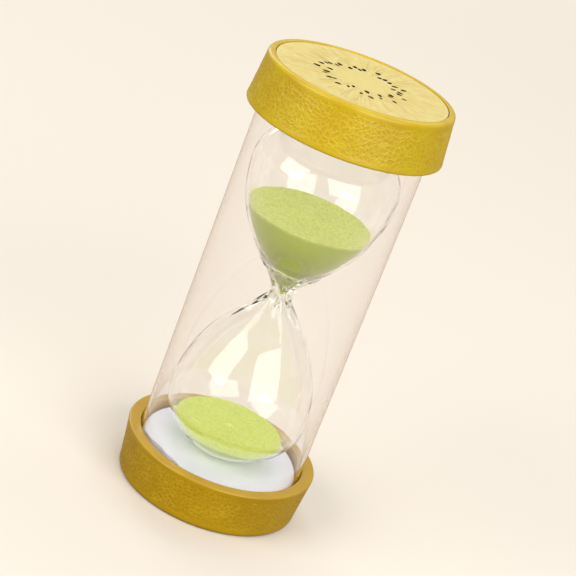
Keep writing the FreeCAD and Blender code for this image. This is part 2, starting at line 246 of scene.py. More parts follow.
@dataclass(frozen=True)
class Finish:
    """A named material whose nodes a subclass paints."""

    name: str = "plain"

    def paint(self, graph: Graph) -> dict[str, Wire]:
        """Return what reaches the output node's sockets, by name."""
        return {"Surface": graph.principled({})}

    def material(self) -> bpy.types.Material:
        """Make the material and paint it.

        Returns:
            The material.
        """
        made = bpy.data.materials.new(self.name)
        made.use_nodes = True
        made.node_tree.nodes.clear()
        graph = Graph(made.node_tree)
        graph.fill(made.node_tree.nodes.new("ShaderNodeOutputMaterial"), self.paint(graph))
        return made


@dataclass(frozen=True)
class PeelPlastic(Finish):
    """Golden moulded plastic with a citrus-peel side."""

    name: str = "golden_peel_plastic"
    light: Colour = tint(208, 179, 18)
    deep: Colour = tint(200, 166, 8)
    # Painted shade colour for the grooves and painted highlight colour for the crests.
    groove_shade: Colour = tint(168, 128, 0)
    crest_highlight: Colour = tint(224, 198, 52)
    groove_shade_share: float = 0.16
    crest_highlight_share: float = 0.38
    roughness: float = 0.33
    wrinkles_per_mm: float = 0.62
    wrinkle_depth: float = 0.07 * MM

    def paint(self, graph: Graph) -> dict[str, Wire]:
        """Paint gold with slow changes of tone, painted shade in the grooves, a painted highlight on
        the crests, and worm-like wrinkles.

        Args:
            graph: The tree. The mesh's "relief" is 0 in the grooves and 1 on the crests, and its
                "peel" is how much of the pattern the place has.

        Returns:
            The surface.
        """
        point = graph.place()
        peel, relief = graph.attribute("peel"), graph.attribute("relief")
        cloud = graph.noise(point, 0.09, 3.0, 0.5)
        base = graph.mix(cloud.step(0.3, 0.72), self.deep, self.light)
        # Painted shade: darker in the grooves.
        base = graph.mix((1.0 - relief.step(0.0, 0.4)) * peel * self.groove_shade_share, base, self.groove_shade)
        # Painted highlight: lighter on the crests.
        base = graph.mix(relief.step(0.30, 1.0) * peel * self.crest_highlight_share, base, self.crest_highlight)
        worms = graph.node("ShaderNodeTexNoise", None, {
            "Vector": point, "Scale": self.wrinkles_per_mm, "Detail": 2.0, "Distortion": 0.9})
        ridge = (1.0 - (worms - 0.5).size() * 7.0).step(-0.1, 1.0)
        grain = graph.noise(point, 3.0, 2.0)
        height = ridge * peel * 0.8 + grain * 0.2 * (0.15 + peel)
        return {"Surface": graph.principled({
            "Base Color": base,
            "Roughness": self.roughness + (0.5 - grain) * 0.10 + (1.0 - relief) * peel * 0.10,
            "Specular IOR Level": 0.45,
            "Normal": graph.bump(height, self.wrinkle_depth, 0.9),
        })}


# The lower cap's plastic: the golden plastic made darker, painted shade, with a painted highlight on
# its crests.
SHADED_PEEL = PeelPlastic(
    name="shaded_golden_peel_plastic",
    light=tint(188, 151, 7),
    deep=tint(180, 140, 2),
    groove_shade=tint(146, 104, 0),
    crest_highlight=tint(214, 184, 44),
)


@dataclass(frozen=True)
class SlicePrint(Finish):
    """Glossy print of a cut kiwi: pale flesh with fine rays around a plain core."""

    name: str = "slice_print"
    flesh: Colour = tint(222, 198, 112)
    ray: Colour = tint(180, 148, 70)
    core: Colour = tint(226, 206, 124)
    border: Colour = tint(228, 213, 138)
    core_radius: float = 8.0
    ray_end: float = 27.0
    disc_radius: float = 29.55
    ray_share: float = 0.46
    core_share: float = 0.8
    border_share: float = 0.7

    def paint(self, graph: Graph) -> dict[str, Wire]:
        """Paint rays from noise on the direction from the axis, so they have no seam.

        Args:
            graph: The tree.

        Returns:
            The surface.
        """
        point = graph.place()
        flat = graph.vector("MULTIPLY", point, (1.0, 1.0, 0.0))
        radius = graph.vector("LENGTH", flat, output="Value")
        spread = graph.node("ShaderNodeCombineXYZ", None, {"Z": radius * 0.004})
        aimed = graph.vector("ADD", graph.vector("NORMALIZE", flat), spread)
        fine = graph.noise(aimed, 24.0, 2.0, 0.6)
        broad = graph.noise(aimed, 4.5, 2.0)
        belt = radius.step(self.core_radius - 2.0, self.core_radius + 4.0)
        belt = belt * radius.step(self.ray_end + 4.0, self.ray_end - 9.0)
        rays = fine.step(0.47, 0.60) * (0.10 + 0.90 * belt) * broad.step(0.30, 0.56)
        mottle = graph.noise(point, 0.35, 4.0)
        middle = radius.step(self.core_radius + 1.5, self.core_radius - 2.5)
        rim = radius.step(self.disc_radius - 1.1, self.disc_radius - 0.3)
        body = graph.mix(mottle.step(0.3, 0.75), self.flesh, self.border)
        body = graph.mix(middle * self.core_share, body, self.core)
        body = graph.mix(rays * self.ray_share, body, self.ray)
        body = graph.mix(rim * self.border_share, body, self.border)
        height = graph.noise(point, 0.5, 2.0) + 0.4 * fine * belt
        return {"Surface": graph.principled({
            "Base Color": body,
            "Roughness": 0.38 + 0.10 * mottle,
            "Specular IOR Level": 0.3,
            "Normal": graph.bump(height, 0.012 * MM, 0.6),
        })}


@dataclass(frozen=True)
class SeedInk(Finish):
    """Raised dark ink of a printed seed."""

    name: str = "seed_ink"
    dark: Colour = tint(16, 11, 4)
    worn: Colour = tint(128, 104, 48)

    def paint(self, graph: Graph) -> dict[str, Wire]:
        """Paint near-black ink, browner where the mesh's "fade" says that a seed is faint.

        Args:
            graph: The tree.

        Returns:
            The surface.
        """
        speck = graph.noise(graph.place(), 4.0, 3.0)
        share = (graph.attribute("fade") + (speck - 0.5) * 0.35).step(0.1, 0.95)
        return {"Surface": graph.principled({
            "Base Color": graph.mix(share, self.dark, self.worn),
            "Roughness": 0.5 + speck * 0.14,
            "Specular IOR Level": 0.02,
            "Normal": graph.bump(speck, 0.02 * MM, 0.5),
        })}


@dataclass(frozen=True)
class AdhesiveFilm(Finish):
    """Milky double-sided adhesive with trapped air."""

    name: str = "adhesive_film"
    milky: Colour = tint(226, 222, 208)
    clear: Colour = tint(206, 198, 172)

    def paint(self, graph: Graph) -> dict[str, Wire]:
        """Paint tacky film, patchy where it has wetted the plastic.

        Args:
            graph: The tree.

        Returns:
            The surface.
        """
        point = graph.place()
        wet = graph.noise(point, 0.3, 4.0)
        bubbles = graph.cells(point, 0.9).step(0.12, 0.2)
        return {"Surface": graph.principled({
            "Base Color": graph.mix(wet.step(0.4, 0.6) * bubbles, self.milky, self.clear),
            "Roughness": 0.35 + 0.25 * wet,
            "Normal": graph.bump(bubbles * wet, 0.03 * MM, 0.7),
        })}


@dataclass(frozen=True)
class ClearWall(Finish):
    """A refracting wall that lets light for the pieces behind it pass unbent."""

    passed: Colour = WHITE
    absorbed: Colour = WHITE
    density: float = 25.0
    ior: float = 1.5

    def marks(self, graph: Graph) -> dict[str, Wire]:
        """Return the wall's roughness and normal."""
        return {}

    def paint(self, graph: Graph) -> dict[str, Wire]:
        """Paint the wall, tinted along its thickness.

        Args:
            graph: The tree.

        Returns:
            The surface, clear to shadow and diffuse rays, and the volume.
        """
        glass = graph.principled({
            "Base Color": WHITE, "IOR": self.ior, "Transmission Weight": 1.0, **self.marks(graph)})
        clear = graph.node("ShaderNodeBsdfTransparent", None, {"Color": self.passed})
        passing = graph.ray("Is Shadow Ray").larger(graph.ray("Is Diffuse Ray"))
        volume = graph.node("ShaderNodeVolumeAbsorption", None,
                            {"Color": self.absorbed, "Density": self.density})
        return {"Surface": graph.choose(passing, glass, clear), "Volume": volume}


@dataclass(frozen=True)
class ClearAcrylic(ClearWall):
    """Clear extruded acrylic with a faint warm cast."""

    name: str = "clear_acrylic"
    passed: Colour = (0.995, 0.99, 0.985, 1.0)
    absorbed: Colour = tint(216, 168, 124)
    density: float = 52.0
    ior: float = 1.49

    def marks(self, graph: Graph) -> dict[str, Wire]:
        """Return handling marks, stretched along the tube.

        Args:
            graph: The tree.

        Returns:
            The roughness and the normal.
        """
        point = graph.place()
        marks = graph.noise(graph.vector("MULTIPLY", point, (1.0, 1.0, 0.12)), 1.1, 3.0)
        smear = graph.noise(point, 0.09, 2.0)
        return {"Roughness": marks.step(0.60, 0.85) * smear.step(0.5, 0.8) * 0.05,
                "Normal": graph.bump(marks, 0.004 * MM, 0.35)}


@dataclass(frozen=True)
class BulbGlass(ClearWall):
    """Clear blown glass."""

    name: str = "bulb_glass"
    passed: Colour = (0.99, 0.992, 0.988, 1.0)
    absorbed: Colour = tint(206, 214, 190)

    def marks(self, graph: Graph) -> dict[str, Wire]:
        """Return dust and the faint waves that blowing leaves.

        Args:
            graph: The tree.

        Returns:
            The roughness and the normal.
        """
        point = graph.place()
        return {"Roughness": graph.cells(point, 0.55).step(0.09, 0.05) * 0.12,
                "Normal": graph.bump(graph.noise(point, 0.11, 2.0), 0.35 * MM, 0.25)}


@dataclass(frozen=True)
class StopperRubber(Finish):
    """Translucent white silicone."""

    name: str = "stopper_rubber"
    white: Colour = tint(222, 220, 212)
    grubby: Colour = tint(198, 196, 170)

    def paint(self, graph: Graph) -> dict[str, Wire]:
        """Paint matt silicone with a little lime dust.

        Args:
            graph: The tree.

        Returns:
            The surface.
        """
        point = graph.place()
        dust = graph.noise(point, 1.4, 4.0)
        return {"Surface": graph.principled({
            "Base Color": graph.mix(dust.step(0.45, 0.75), self.white, self.grubby),
            "Roughness": 0.5 + 0.2 * dust,
            "Normal": graph.bump(graph.noise(point, 6.0), 0.02 * MM, 0.5),
        })}


@dataclass(frozen=True)
class LimeSand(Finish):
    """Fine dyed sand."""

    name: str = "lime_sand"
    bright: Colour = tint(240, 252, 134)
    main: Colour = tint(222, 240, 98)
    dark: Colour = tint(146, 170, 32)
    # Deeper, darker green for the side against the glass: painted shade, partly the look of packed
    # sand.
    pressed: Colour = tint(180, 208, 6)
    grains_per_mm: float = 3.2
    clumps_per_mm: float = 1.7
    grain_depth: float = 0.12 * MM

    def paint(self, graph: Graph) -> dict[str, Wire]:
        """Paint grains as cells, each with its own shade, over clumps and slow patches.

        Args:
            graph: The tree. The mesh attribute for the side is 1 where the sand lies against the
                glass;
                there it is painted a deeper, darker green: painted shade, partly the look of packed
                sand.

        Returns:
            The surface.
        """
        point = graph.place()
        grain = graph.cells(point, self.grains_per_mm, output="Color")
        own = graph.node("ShaderNodeSeparateColor", None, {"Color": grain})
        gap = graph.cells(point, self.grains_per_mm)
        patch = graph.noise(point, 0.22, 4.0)
        clump = graph.noise(point, self.clumps_per_mm, 3.0, 0.75)
        base = graph.mix(own.step(0.15, 0.95), self.main, self.bright)
        for share, colour in (
            (patch.step(0.35, 0.7) * 0.4, self.bright),
            (own.step(0.16, 0.0) * 0.75, self.dark),
            (clump.step(0.50, 0.72) * 0.55, self.dark),
            (clump.step(0.48, 0.30) * 0.6, self.bright),
            # Painted shade on the side against the glass, partly the look of packed sand.
            (graph.attribute("pressed") * (0.68 + 0.2 * own), self.pressed),
        ):
            base = graph.mix(share, base, colour)
        height = (1.0 - gap.step(0.0, 0.7)) + own * 0.4
        return {"Surface": graph.principled({
            "Base Color": base,
            "Roughness": 0.72 + 0.2 * own,
            "Specular IOR Level": 0.35,
            "Normal": graph.bump(height, self.grain_depth, 0.8),
        })}


# The lower bulb's sand: the same lime sand made darker, painted shade.
SHADED_SAND = LimeSand(
    name="lime_sand_shaded",
    bright=tint(218, 234, 108),
    main=tint(203, 223, 82),
    dark=tint(142, 164, 36),
    pressed=tint(178, 200, 50),
)


@dataclass(frozen=True)
class WhiteFoam(Finish):
    """White closed-cell foam with a fine skin and a faint bluish glow, painted light that stands for
    optical whitening.
    """

    name: str = "white_foam"
    white: Colour = tint(243, 247, 255)
    shade: Colour = tint(234, 239, 252)
    # Painted glow: a faint bluish emission, though the foam is no lamp.
    painted_glow: Colour = (0.02, 0.025, 0.08, 1.0)
    cells_per_mm: float = 2.1

    def paint(self, graph: Graph) -> dict[str, Wire]:
        """Paint cells of about half a millimetre under slow unevenness, with painted shade in the
        pores.

        Args:
            graph: The tree.

        Returns:
            The surface.
        """
        point = graph.place()
        cells = graph.cells(point, self.cells_per_mm, "DISTANCE_TO_EDGE").step(0.0, 0.22)
        slow = graph.noise(point, 0.2, 3.0)
        pores = graph.cells(point, 0.8).step(0.10, 0.22)
        # The shade colour comes with the slow unevenness as random tone, and in the pores as painted
        # shade.
        colour = graph.mix(slow.step(0.3, 0.7) * 0.5 + (1.0 - pores) * 0.4, self.white, self.shade)
        return {"Surface": graph.principled({
            "Base Color": colour,
            "Roughness": 0.78 + 0.12 * slow,
            "Specular IOR Level": 0.3,
            # Painted glow: the foam emits a faint bluish light.
            "Emission Color": self.painted_glow,
            "Emission Strength": 1.0,
            "Normal": graph.bump(cells * 0.6 + pores * 0.4, 0.05 * MM, 0.5),
        })}


@dataclass(frozen=True)
class StudioFloor(Finish):
    """Plain pale floor that throws little light back up and stays pale far from the lamps."""

    name: str = "studio_floor"
    colour: Colour = tint(238, 229, 216)
    mirrored: Colour = tint(190, 170, 148)
    thrown_back: Colour = tint(92, 68, 42)
    far_glow: Colour = (0.52, 0.47, 0.41, 1.0)
    glow_from: float = 0.7
    glow_full: float = 3.2

    def paint(self, graph: Graph) -> dict[str, Wire]:
        """Paint it matt and even, with a glow that rises with the distance from the object.

        Args:
            graph: The tree.

        Returns:
            The surface, which is dimmer in a reflection and to diffuse rays.
        """
        place = graph.place(1.0)
        away = graph.vector("LENGTH", place, output="Value")
        glow = graph.mix(away.step(self.glow_from, self.glow_full), BLACK, self.far_glow)
        shown = graph.principled({
            "Base Color": self.colour,
            "Roughness": 0.85 + 0.1 * graph.noise(place, 3.0, 2.0),
            "Specular IOR Level": 0.0,
            "Emission Color": glow,
            "Emission Strength": 1.0,
        })
        dim, dimmer = (graph.node("ShaderNodeBsdfDiffuse", None, {"Color": colour})
                       for colour in (self.mirrored, self.thrown_back))
        reflected = graph.ray("Is Glossy Ray") - graph.ray("Is Transmission Ray")
        seen = graph.choose(reflected, shown, dim)
        return {"Surface": graph.choose(graph.ray("Is Diffuse Ray"), seen, dimmer)}


# ---------------------------------------------------------------------------------------------
# Mesh tools
# ---------------------------------------------------------------------------------------------


@dataclass
class Surface:
    """Points with their four-sided and three-sided faces, point attributes and one finish."""

    points: np.ndarray
    quads: np.ndarray
    triangles: np.ndarray
    attributes: dict[str, np.ndarray]
    finish: int = 0


def arc(centre: tuple[float, float], radius: float, first: float, last: float,
        count: int) -> np.ndarray:
    """Points on an arc: the centre plus the radius times the cosine and sine of each angle.

    Args:
        centre: The arc's centre, as radius and height.
        radius: The arc's radius.
        first: The angle that it starts at, in radians.
        last: The angle that it ends at.
        count: How many points it has.

    Returns:
        An array of radius and height.
    """
    angles = np.linspace(first, last, count)
    return np.column_stack([centre[0] + radius * np.cos(angles),
                            centre[1] + radius * np.sin(angles)])


@dataclass(frozen=True)
class Corner:
    """A corner of an outline, the radius that rounds it and the pitch of the run before it."""

    radius: float
    height: float
    fillet: float = 0.0
    pitch: float = 1.0 * MM


def outline(corners: list[Corner], closed: bool = False, steps: int = 7) -> np.ndarray:
    """Join corners by straight runs, each corner rounded by an arc tangent to both runs.

    The arc touches each run at fillet / tan(half the inner angle) from the corner. Its points
    lie on the chord between the two touching points, pulled out to the circle of the fillet.

    Args:
        corners: The corners in order, with the solid on the left of the direction of travel.
        closed: True if the last corner joins the first.
        steps: How many points each rounded corner has.

    Returns:
        An array of radius and height.
    """
    spots = np.array([[c.radius, c.height] for c in corners])
    runs: list[np.ndarray] = []
    last = len(corners)
    for index, corner in enumerate(corners):
        bend = spots[index][None, :]
        if corner.fillet and (closed or 0 < index < last - 1):
            here = spots[index]
            back, ahead = spots[index - 1] - here, spots[(index + 1) % last] - here
            back, ahead = back / np.linalg.norm(back), ahead / np.linalg.norm(ahead)
            half = 0.5 * math.acos(float(np.clip(back @ ahead, -1.0, 1.0)))
            reach = corner.fillet / math.tan(half)
            inward = (back + ahead) / np.linalg.norm(back + ahead)
            middle = here + inward * (corner.fillet / math.sin(half))
            share = np.linspace(0.0, 1.0, steps)[:, None]
            chord = (here + back * reach) * (1.0 - share) + (here + ahead * reach) * share
            away = chord - middle
            bend = middle + away / np.linalg.norm(away, axis=1)[:, None] * corner.fillet
        if runs:
            runs.append(straight(runs[-1][-1], bend[0], corner.pitch))
        runs.append(bend)
    if closed:
        runs.append(straight(runs[-1][-1], runs[0][0], corners[0].pitch))
    return np.concatenate(runs)


def straight(start: np.ndarray, end: np.ndarray, pitch: float) -> np.ndarray:
    """Points strictly between two ends, evenly spaced at about the pitch.

    Args:
        start: The first end.
        end: The other end.
        pitch: The distance wanted between neighbours.

    Returns:
        An array of radius and height.
    """
    count = max(1, int(round(float(np.linalg.norm(end - start)) / pitch)))
    share = np.linspace(0.0, 1.0, count + 1)[1:-1, None]
    return start * (1.0 - share) + end * share


def right_normals(profile: np.ndarray, closed: bool) -> np.ndarray:
    """Unit normals on the right of the direction of travel: a step (dr, dh) gives (dh, -dr).

    Args:
        profile: Radius and height of the outline.
        closed: True if its end joins its start.

    Returns:
        An array of the normals' radius and height.
    """
    ahead, back = np.roll(profile, -1, 0), np.roll(profile, 1, 0)
    if not closed:
        ahead[-1], back[0] = profile[-1], profile[0]
    step = ahead - back
    normal = np.column_stack([step[:, 1], -step[:, 0]])
    return normal / np.maximum(np.linalg.norm(normal, axis=1), 1e-12)[:, None]


def turned(profile: np.ndarray, turns: int, closed: bool = False,
           relief: np.ndarray | None = None,
           attributes: dict[str, np.ndarray] | None = None) -> Surface:
    """Turn a profile about the Z axis.

    The point at outline step i and turn j is (r cos a, r sin a, h), where a is j times a full
    turn over the number of turns, moved along the outline's normal by relief[i, j]. A point on
    the axis only moves along it.

    Args:
        profile: Radius and height of the outline, with the solid on its left.
        turns: How many points each ring has.
        closed: True if the outline's end joins its start.
        relief: Outward movement on the grid of outline steps and turns.
        attributes: Numbers on the same grid, by name.

    Returns:
        The surface, with its poles closed where the outline ends on the axis.
    """
    steps = len(profile)
    angles = np.arange(turns) * FULL_TURN / turns
    moved = np.zeros((steps, turns)) if relief is None else relief
    normal = right_normals(profile, closed)
    radius = (profile[:, 0:1] + normal[:, 0:1] * moved) * (profile[:, 0:1] > ON_AXIS)
    height = profile[:, 1:2] + normal[:, 1:2] * moved
    grid = np.stack([radius * np.cos(angles), radius * np.sin(angles),
                     np.broadcast_to(height, (steps, turns))], axis=2)
    poles = [row for row in (0, steps - 1) if profile[row, 0] <= ON_AXIS and not closed]
    return skin(grid, attributes or {}, poles, closed)


def skin(grid: np.ndarray, attributes: dict[str, np.ndarray], poles: list[int],
         closed: bool = False, finish: int = 0) -> Surface:
    """Lay four-sided faces on a grid whose rows are rings, and a fan of triangles at each pole.

    Args:
        grid: Points by outline step and turn.
        attributes: Numbers on the same grid, by name.
        poles: The rows that shrink to one point.
        closed: True if the last row joins the first.
        finish: The number of the material slot.

    Returns:
        The finished surface.
    """
    steps, turns = grid.shape[:2]
    points = grid.reshape(-1, 3)
    target = np.arange(len(points)).reshape(steps, turns)
    for row in poles:
        target[row] = row * turns
    rings = np.vstack([target, target[:1]]) if closed else target
    after = np.roll(rings, -1, 1)
    quads = np.stack([rings[:-1], after[:-1], after[1:], rings[1:]], 2).reshape(-1, 4)
    start, end = quads[:, 0] == quads[:, 1], quads[:, 2] == quads[:, 3]
    triangles = np.concatenate([quads[start][:, [0, 2, 3]], quads[end][:, [0, 1, 2]]])
    quads = quads[~start & ~end]
    used = np.unique(np.concatenate([quads.ravel(), triangles.ravel()]))
    renumber = np.zeros(len(points), int)
    renumber[used] = np.arange(len(used))
    stored = {name: np.broadcast_to(values, (steps, turns)).reshape(-1)[used]
              for name, values in attributes.items()}
    return Surface(points[used], renumber[quads], renumber[triangles], stored, finish)


def stand_in(name: str, node: str, surfaces: list[Surface],
             finishes: list[bpy.types.Material], crease: float = 42.0) -> bpy.types.Object:
    """Put surfaces into one mesh object at the origin that stands for a CAD node.

    Args:
        name: The object's name.
        node: The CAD node.
        surfaces: What the piece is made of.
        finishes: Its materials, in slot order.
        crease: Edges that turn more than this many degrees stay sharp.

    Returns:
        The object, which rides on the body.
    """
    starts = np.cumsum([0] + [len(s.points) for s in surfaces])
    quads = np.concatenate([s.quads + at for s, at in zip(surfaces, starts)])
    triangles = np.concatenate([s.triangles + at for s, at in zip(surfaces, starts)])
    slots = np.concatenate([np.full(len(s.quads), s.finish) for s in surfaces]
                           + [np.full(len(s.triangles), s.finish) for s in surfaces])
    sizes = np.concatenate([np.full(len(quads), 4), np.full(len(triangles), 3)])
    loop_starts = np.concatenate([[0], np.cumsum(sizes)[:-1]])
    corners = np.concatenate([quads.ravel(), triangles.ravel()])
    points = np.concatenate([s.points for s in surfaces])
    mesh = bpy.data.meshes.new(name)
    mesh.vertices.add(len(points))
    mesh.loops.add(len(corners))
    mesh.polygons.add(len(sizes))
    mesh.vertices.foreach_set("co", points.astype(np.float32).ravel())
    mesh.loops.foreach_set("vertex_index", corners.astype(np.int32))
    mesh.polygons.foreach_set("loop_start", loop_starts.astype(np.int32))
    mesh.polygons.foreach_set("material_index", slots.astype(np.int32))
    mesh.update(calc_edges=True)
    for key in sorted({key for s in surfaces for key in s.attributes}):
        values = [s.attributes.get(key, np.zeros(len(s.points))) for s in surfaces]
        stored = mesh.attributes.new(key, "FLOAT", "POINT")
        stored.data.foreach_set("value", np.concatenate(values).astype(np.float32))
    for finish in finishes:
        mesh.materials.append(finish)
    mesh.shade_smooth()
    mesh.set_sharp_from_angle(angle=math.radians(crease))
    piece = bpy.data.objects.new(name, mesh)
    bpy.context.scene.collection.objects.link(piece)
    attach(piece, BODY)
    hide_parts(node)
    LOG.info("%s: %d points stand for %s", name, len(points), node)
    return piece


def smooth_step(values: np.ndarray, low: float, high: float) -> np.ndarray:
    """Rise from 0 at low to 1 at high as t * t * (3 - 2t)."""
    share = np.clip((values - low) / (high - low), 0.0, 1.0)
    return share * share * (3.0 - 2.0 * share)


def ripple(turn: np.ndarray, waves: tuple[Wave, ...]) -> np.ndarray:
    """Add up waves round the axis: each is a height times the sine of count times turn plus start."""
    return sum(height * np.sin(count * turn + start) for height, count, start in waves)


class RoundPattern:
    """Seeded patterns on a band that joins itself after one turn."""

    def __init__(self, seed: int) -> None:
        """Start the random draws."""
        self.draw = np.random.default_rng(seed)

    def waves(self, across: np.ndarray, along: np.ndarray, count: int, rows: int) -> np.ndarray:
        """Smooth noise from -1 to 1: random lattice values joined by cubic steps.

        Args:
            across: Turn of each point as a share of a full turn.
            along: Place of each point along the band as a share of its length.
            count: Lattice cells round the band.
            rows: Lattice cells along the band.

        Returns:
            The noise, with the inputs' shape.
        """
        lattice = self.draw.uniform(-1.0, 1.0, (count, rows + 2))
        x, y = across * count, np.clip(along, 0.0, 1.0) * rows
        ix, iy = np.floor(x).astype(int), np.floor(y).astype(int)
        fx, fy = smooth_step(x - ix, 0.0, 1.0), smooth_step(y - iy, 0.0, 1.0)
        low, high = (lattice[ix % count, row] * (1.0 - fx) + lattice[(ix + 1) % count, row] * fx
                     for row in (iy, iy + 1))
        return low * (1.0 - fy) + high * fy

    def pebbles(self, across: np.ndarray, along: np.ndarray, count: int, rows: int) -> np.ndarray:
        """Rounded cells: the distance to the second nearest random point less the nearest's.

        Args:
            across: Turn of each point as a share of a full turn.
            along: Place of each point along the band as a share of its length.
            count: Cells round the band.
            rows: Cells along the band.

        Returns:
            The difference in cell widths: 0 in the grooves between cells, about 1 at middles.
        """
        spare = 3
        jitter = self.draw.uniform(0.0, 1.0, (count, rows + 2 * spare, 2))
        x, y = across * count, along * rows + float(spare)
        ix, iy = np.floor(x).astype(int), np.floor(y).astype(int)
        near, second = np.full(x.shape, np.inf), np.full(x.shape, np.inf)
        for dx in (-1, 0, 1):
            for dy in (-1, 0, 1):
                cell = jitter[(ix + dx) % count, np.clip(iy + dy, 0, rows + 2 * spare - 1)]
                gap = np.hypot(ix + dx + cell[..., 0] - x, iy + dy + cell[..., 1] - y)
                second = np.minimum(second, np.maximum(near, gap))
                near = np.minimum(near, gap)
        return second - near


# ---------------------------------------------------------------------------------------------
# The two ends: caps, printed discs and foam pads
# ---------------------------------------------------------------------------------------------


class End(Enum):
    """Which end of the hourglass a piece belongs to."""

    LOWER = "lower"
    UPPER = "upper"

    def seed(self, lower: int, upper: int) -> int:
        """Return the end's own random seed."""
        return lower if self is End.LOWER else upper


@dataclass
class EndPiece:
    """A piece at one end, drawn upwards from its cap's outer face."""

    end: End
    total: float

    def turn(self, profile: np.ndarray, turns: int, closed: bool = False,
             relief: np.ndarray | None = None,
             attributes: dict[str, np.ndarray] | None = None) -> Surface:
        """Turn an outline, upside down at the upper end.

        There the height h becomes the total less h, and every row's order is reversed, so the
        solid stays on the outline's left.

        Args:
            profile: Radius and height from the cap's outer face.
            turns: How many points each ring has.
            closed: True if the outline's end joins its start.
            relief: Outward movement on the grid of outline steps and turns.
            attributes: Numbers on the same grid, by name.

        Returns:
            The surface.
        """
        if self.end is End.UPPER:
            profile = np.column_stack([profile[:, 0], self.total - profile[:, 1]])[::-1]
            relief = None if relief is None else relief[::-1]
            attributes = {key: values[::-1] for key, values in (attributes or {}).items()}
        return turned(profile, turns, closed, relief, attributes)


@dataclass
class EndCap(EndPiece):
    """Moulded cap: a cup with a drafted, peel-textured side and a recess in its face."""

    finish: bpy.types.Material
    height: float = 17.3 * MM
    rim_radius: float = 34.0 * MM
    face_radius: float = 32.1 * MM
    recess_radius: float = 29.85 * MM
    recess_depth: float = 1.53 * MM
    floor_height: float = 3.53 * MM
    bore: float = 29.7 * MM
    face_fillet: float = 1.4 * MM
    rim_fillet: float = 0.6 * MM
    mouth_fillet: float = 0.4 * MM
    edge_fillet: float = 0.15 * MM
    side_pitch: float = 0.25 * MM
    flat_pitch: float = 3.0 * MM
    turns: int = 760
    face_band: float = 1.5 * MM
    rim_band: float = 0.9 * MM
    fade: float = 1.7 * MM
    peel_depth: float = 0.16 * MM
    pebble: float = 1.55 * MM
    bending: float = 0.9
    ridge_width: float = 0.46
    unbroken: float = 0.76

    def section(self) -> np.ndarray:
        """Return the cup's outline, from the recess's middle out, up the side and back in."""
        return outline([
            Corner(0.0, self.recess_depth),
            Corner(self.recess_radius, self.recess_depth, self.edge_fillet, self.flat_pitch),
            Corner(self.recess_radius, 0.0, self.edge_fillet, self.flat_pitch),
            Corner(self.face_radius, 0.0, self.face_fillet, 0.3 * MM),
            Corner(self.rim_radius, self.height, self.rim_fillet, self.side_pitch),
            Corner(self.bore, self.height, self.mouth_fillet, 0.8 * MM),
            Corner(self.bore, self.floor_height, self.edge_fillet, self.flat_pitch),
            Corner(0.0, self.floor_height, 0.0, self.flat_pitch),
        ])

    def build(self) -> None:
        """Turn the section and press the peel pattern into its side.

        The relief is a net of broken ridges round shallow dimples: the borders of random cells
        whose grid is bent by slow waves, plus fine waves, times a band that fades out before
        the lip and the rim.
        """
        own = self.section()
        band = smooth_step(own[:, 1], self.face_band, self.face_band + self.fade)
        band *= smooth_step(self.height - own[:, 1], self.rim_band, self.rim_band + self.fade)
        outside = own[:, 0] > self.face_radius - self.face_fillet
        band = np.where(outside, band, 0.0)[:, None]
        across = np.arange(self.turns)[None, :] / self.turns
        along = np.clip(own[:, 1] / self.height, 0.0, 1.0)[:, None]
        pattern = RoundPattern(self.end.seed(11, 23))
        count = int(FULL_TURN * self.rim_radius / self.pebble)
        rows = int(self.height / self.pebble)
        bend_x = pattern.waves(across, along, count // 4, rows // 3)
        bend_y = pattern.waves(across, along, count // 4, rows // 3)
        pebbles = pattern.pebbles(across + self.bending * bend_x / count,
                                  along + self.bending * bend_y / rows, count, rows)
        fine = pattern.waves(across, along, count * 2, rows * 2)
        slow = pattern.waves(across, along, count // 6, max(2, rows // 4))
        broken = pattern.waves(across, along, count // 2, rows // 2)
        broken = self.unbroken + (1.0 - self.unbroken) * broken
        ridges = (1.0 - smooth_step(pebbles, 0.02, self.ridge_width)) * broken
        relief = (0.80 * ridges + 0.14 * fine + 0.20 * slow - 1.0) * band
        fields = {"relief": np.clip(ridges + 0.20 * fine, 0.0, 1.0), "peel": band}
        surface = self.turn(own, self.turns, False, relief * self.peel_depth, fields)
        stand_in(f"{self.end.value}_peel_cap", f"{self.end.value}_end_cap",
                 [surface], [self.finish], 60.0)


